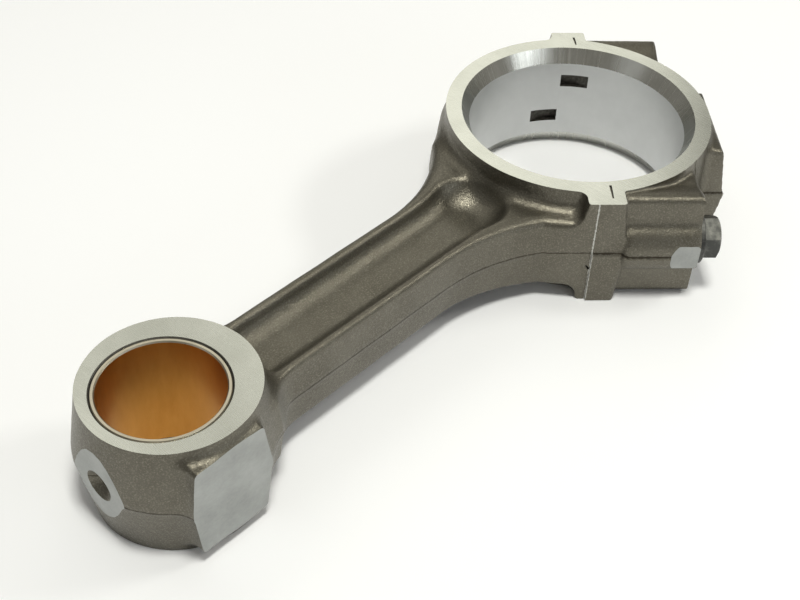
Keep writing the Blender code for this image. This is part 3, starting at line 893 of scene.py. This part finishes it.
def shade(obj, angle=35.0):
    obj.data.shade_smooth()
    obj.data.set_sharp_from_angle(angle=math.radians(angle))


def closed_ring(name, profile, steps):
    """A ring turned from a profile that ends where it starts."""
    mesh = turned_mesh(name, profile, steps)
    form = bmesh.new()
    form.from_mesh(mesh)
    bmesh.ops.remove_doubles(form, verts=form.verts, dist=1e-6)
    bmesh.ops.recalc_face_normals(form, faces=form.faces)
    form.to_mesh(mesh)
    form.free()
    return mesh


def make_bush():
    half = HALF_WIDTH - 0.25
    profile = [
        (BUSH_R + 0.5, half),
        (BUSH_OUTER_R - 0.35, half),
        (BUSH_OUTER_R, half - 0.5),
        (BUSH_OUTER_R, 0.5 - half),
        (BUSH_OUTER_R - 0.35, -half),
        (BUSH_R + 0.5, -half),
        (BUSH_R, 0.6 - half),
        (BUSH_R, half - 0.6),
        (BUSH_R + 0.5, half),
    ]
    mesh = closed_ring("bush", profile, 192)
    for face in mesh.polygons:
        x, y, _ = face.center / MM
        face.material_index = 0 if math.hypot(x, y) < BUSH_R + 0.05 else 1
    bush = new_object("bush_turned", mesh)
    mesh.materials.append(bronze("bush_bronze", (0.43, 0.2, 0.038), (0.58, 0.3, 0.07), 0.36))
    mesh.materials.append(bronze("bush_rim", (0.5, 0.46, 0.36), (0.62, 0.57, 0.46), 0.3))
    shade(bush, 20)
    return place(bush, Matrix.Translation((-CENTRES, 0, 0)))


def thread_mesh(name, start, end):
    """A right-hand thread along local Z, with its run-out and a blunt point."""
    around, rows_per_pitch = 48, 8
    rows = int((end - start) / THREAD_PITCH * rows_per_pitch)
    depth = 0.61 * THREAD_PITCH
    form = bmesh.new()
    rings = []
    for row in range(rows + 1):
        z = start + (end - start) * row / rows
        fade = min((end - z) / 2.0, 1.0)
        point = max(0.0, 1.3 - (z - start))
        ring = []
        for i in range(around):
            turn = 2.0 * math.pi * i / around
            phase = (z / THREAD_PITCH - i / around) % 1.0
            flank = min(max(abs(phase - 0.5) * 2.6 - 0.25, 0.0), 1.0)
            radius = min(BOLT_R - depth * fade * (1.0 - flank), BOLT_R - point)
            ring.append(
                form.verts.new(
                    (radius * math.cos(turn) * MM, radius * math.sin(turn) * MM, z * MM)
                )
            )
        rings.append(ring)
    for a, b in zip(rings, rings[1:]):
        for i in range(around):
            j = (i + 1) % around
            form.faces.new((a[i], a[j], b[j], b[i]))
    form.faces.new(list(reversed(rings[0])))
    form.faces.new(rings[-1])
    mesh = bpy.data.meshes.new(name)
    form.to_mesh(mesh)
    form.free()
    return mesh


def make_bolt(side, sign, material, worn):
    """A hexagon cap bolt, its head chamfered round the crown and a thread on its shank."""
    corner = HEAD_FLATS / math.sqrt(3.0)
    crown = HEAD_U + HEAD_HEIGHT
    form = bmesh.new()
    bmesh.ops.create_cone(
        form,
        cap_ends=True,
        segments=6,
        radius1=corner * MM,
        radius2=corner * MM,
        depth=(HEAD_HEIGHT - 0.4) * MM,
        matrix=Matrix.Translation((0, 0, (HEAD_U + crown + 0.4) / 2 * MM)),
    )
    mesh = bpy.data.meshes.new(f"bolt_head_{side}")
    form.to_mesh(mesh)
    form.free()
    head = new_object(f"bolt_{side}", mesh)
    dome = [(0, crown), (HEAD_FLATS / 2 - 0.6, crown), (HEAD_FLATS / 2 + 0.2, crown - 0.5)]
    dome += [(corner + 1.0, crown - 1.9), (corner + 1.0, HEAD_U - 2), (0, HEAD_U - 2)]
    tools = [turned_tool("crown", dome, 96, Matrix.Identity(4))]
    face = [(0, HEAD_U + 1), (HEAD_FLATS / 2 - 0.3, HEAD_U + 1), (HEAD_FLATS / 2 - 0.3, HEAD_U)]
    face += [(BOLT_R + 0.3, HEAD_U), (BOLT_R, HEAD_U - 0.3), (BOLT_R, -1.0), (0, -1.0)]
    tools.append(turned_tool("washer_face_and_shank", face, 96, Matrix.Identity(4)))
    thread = new_object("thread", thread_mesh("thread", -BOLT_REACH, 6.0))
    tools.append(thread)
    for tool, operation in zip(tools, ("INTERSECT", "UNION", "UNION")):
        change = head.modifiers.new(tool.name, "BOOLEAN")
        change.operation = operation
        change.solver = "EXACT"
        change.object = tool
    bpy.context.view_layer.update()
    graph = bpy.context.evaluated_depsgraph_get()
    made = bpy.data.meshes.new_from_object(head.evaluated_get(graph))
    head.modifiers.clear()
    head.data = made
    made.materials.clear()
    made.materials.append(material)
    made.materials.append(worn)
    for tool in tools:
        bpy.data.objects.remove(tool, do_unlink=True)
    shade(head, 30)
    soften = head.modifiers.new("worn_edges", "BEVEL")
    soften.width = 0.2 * MM
    soften.segments = 2
    soften.material = 1
    soften.angle_limit = math.radians(40)
    return place(head, uv_frame(0, sign * BOLT_V))


def make_washer(side, sign, material):
    low, high = SEAT_U + 0.02, HEAD_U - 0.02
    inner, edge = BOLT_R + 0.35, 0.4
    profile = [
        (inner + edge, high),
        (WASHER_R - edge, high),
        (WASHER_R, high - edge),
        (WASHER_R, low + edge / 2),
        (WASHER_R - edge / 2, low),
        (inner, low),
        (inner, high - edge),
        (inner + edge, high),
    ]
    mesh = closed_ring(f"washer_{side}", profile, 96)
    washer = new_object(f"washer_ring_{side}", mesh)
    mesh.materials.append(material)
    shade(washer, 25)
    return place(washer, uv_frame(0, sign * BOLT_V))


# --- the whole ------------------------------------------------------------------------------


def build_object():
    steels = [
        forged_steel(),
        milled_steel(),
        turned_steel(),
        bored_steel(),
        spotted_steel(),
        fractured_steel(),
        shaded_steel(),
    ]
    rod = machined_rod()
    finish_faces(rod, steels, True)
    place(rod)
    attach(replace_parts(rod, "rod_body"), "rod")

    cap = machined_cap()
    finish_faces(cap, steels, False)
    place(cap)
    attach(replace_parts(cap, "rod_cap"), "cap")

    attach(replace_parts(make_bush(), "pin_bush"), "rod")

    bolt_black = black_oxide("bolt_black_oxide", 0.42, (0.07, 0.071, 0.068), (0.19, 0.19, 0.175))
    bolt_worn = black_oxide("bolt_worn_edges", 0.35, (0.22, 0.22, 0.21), (0.42, 0.42, 0.4))
    washer_black = black_oxide("washer_oxide", 0.5, (0.06, 0.06, 0.058), (0.16, 0.16, 0.15))
    for side, (sign, _, _) in EARS.items():
        bolt = make_bolt(side, sign, bolt_black, bolt_worn)
        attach(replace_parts(bolt, f"cap_bolt_{side}"), f"{side}_bolt")
        washer = make_washer(side, sign, washer_black)
        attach(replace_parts(washer, f"washer_{side}"), f"{side}_washer")


def make_floor():
    mesh = bpy.data.meshes.new("floor")
    reach = 6.0
    corners = [(-reach, -reach, 0), (reach, -reach, 0), (reach, reach, 0), (-reach, reach, 0)]
    mesh.from_pydata(corners, [], [(0, 1, 2, 3)])
    floor = new_object("floor", mesh)
    floor.location.z = -0.0003
    n = Nodes("pale_floor", 0.9, 0.0)
    n.shader.inputs["Base Color"].default_value = (0.93, 0.94, 0.98, 1.0)
    mesh.materials.append(n.material)


def area_light(name, place_at, look_at, size, watts, colour):
    light = bpy.data.lights.new(name, "AREA")
    light.shape = "RECTANGLE"
    light.size, light.size_y = size
    light.energy = watts
    light.color = colour
    lamp = bpy.data.objects.new(name, light)
    bpy.context.scene.collection.objects.link(lamp)
    lamp.location = place_at
    aim = Vector(look_at) - Vector(place_at)
    lamp.rotation_euler = aim.to_track_quat("-Z", "Y").to_euler()


def make_light():
    world = bpy.data.worlds.new("studio")
    bpy.context.scene.world = world
    world.use_nodes = True
    sky = world.node_tree.nodes["Background"]
    sky.inputs["Color"].default_value = (1.0, 0.97, 0.88, 1.0)
    sky.inputs["Strength"].default_value = 0.22
    warm, cool = (1.0, 0.99, 0.9), (0.92, 0.97, 1.0)
    area_light("back_left", (-0.12, 0.66, 0.8), (-0.26, 0.0, 0.05), (0.6, 0.62), 0.85, warm)
    area_light("back_middle", (0.4, 0.64, 0.8), (-0.1, 0.0, 0.05), (0.42, 0.62), 0.5, warm)
    area_light("back_right", (0.87, 0.65, 0.8), (0.0, 0.0, 0.05), (0.56, 0.66), 1.4, warm)
    area_light("edges", (0.8, -0.56, 0.8), (-0.1, -0.05, 0.0), (0.3, 0.14), 3.4, warm)
    area_light("overhead", (-0.22, -0.3, 1.6), (-0.1, -0.05, 0.0), (0.32, 0.32), 17.0, warm)
    area_light("front_right", (0.06, -1.42, 0.52), (-0.05, 0.0, 0.0), (0.95, 0.4), 2.4, cool)
    area_light("left", (-1.4, 0.36, 0.6), (0.0, 0.0, 0.0), (0.8, 0.7), 0.4, cool)
    bpy.context.scene.view_settings.view_transform = "Standard"


def make_camera():
    azimuth, elevation, roll = (math.radians(a) for a in (-48.592, 42.790, 2.279))
    back = Vector(
        (
            math.sin(azimuth) * math.cos(elevation),
            -math.cos(azimuth) * math.cos(elevation),
            math.sin(elevation),
        )
    )
    right = Vector((math.cos(azimuth), math.sin(azimuth), 0.0))
    up = back.cross(right)
    right, up = (
        math.cos(roll) * right + math.sin(roll) * up,
        math.cos(roll) * up - math.sin(roll) * right,
    )
    data = bpy.data.cameras.new("photo_view")
    data.sensor_width = 36.0
    data.lens = 59.196
    data.clip_start = 0.01
    camera = bpy.data.objects.new("photo_view", data)
    bpy.context.scene.collection.objects.link(camera)
    turn = Matrix((right, up, back)).transposed().to_4x4()
    seat = Vector((-1.755326, -1.122405, 1.514444)) * CENTRES * MM + ORIGIN
    camera.matrix_world = Matrix.Translation(seat) @ turn
    bpy.context.scene.camera = camera


build_object()
make_floor()
make_light()
make_camera()
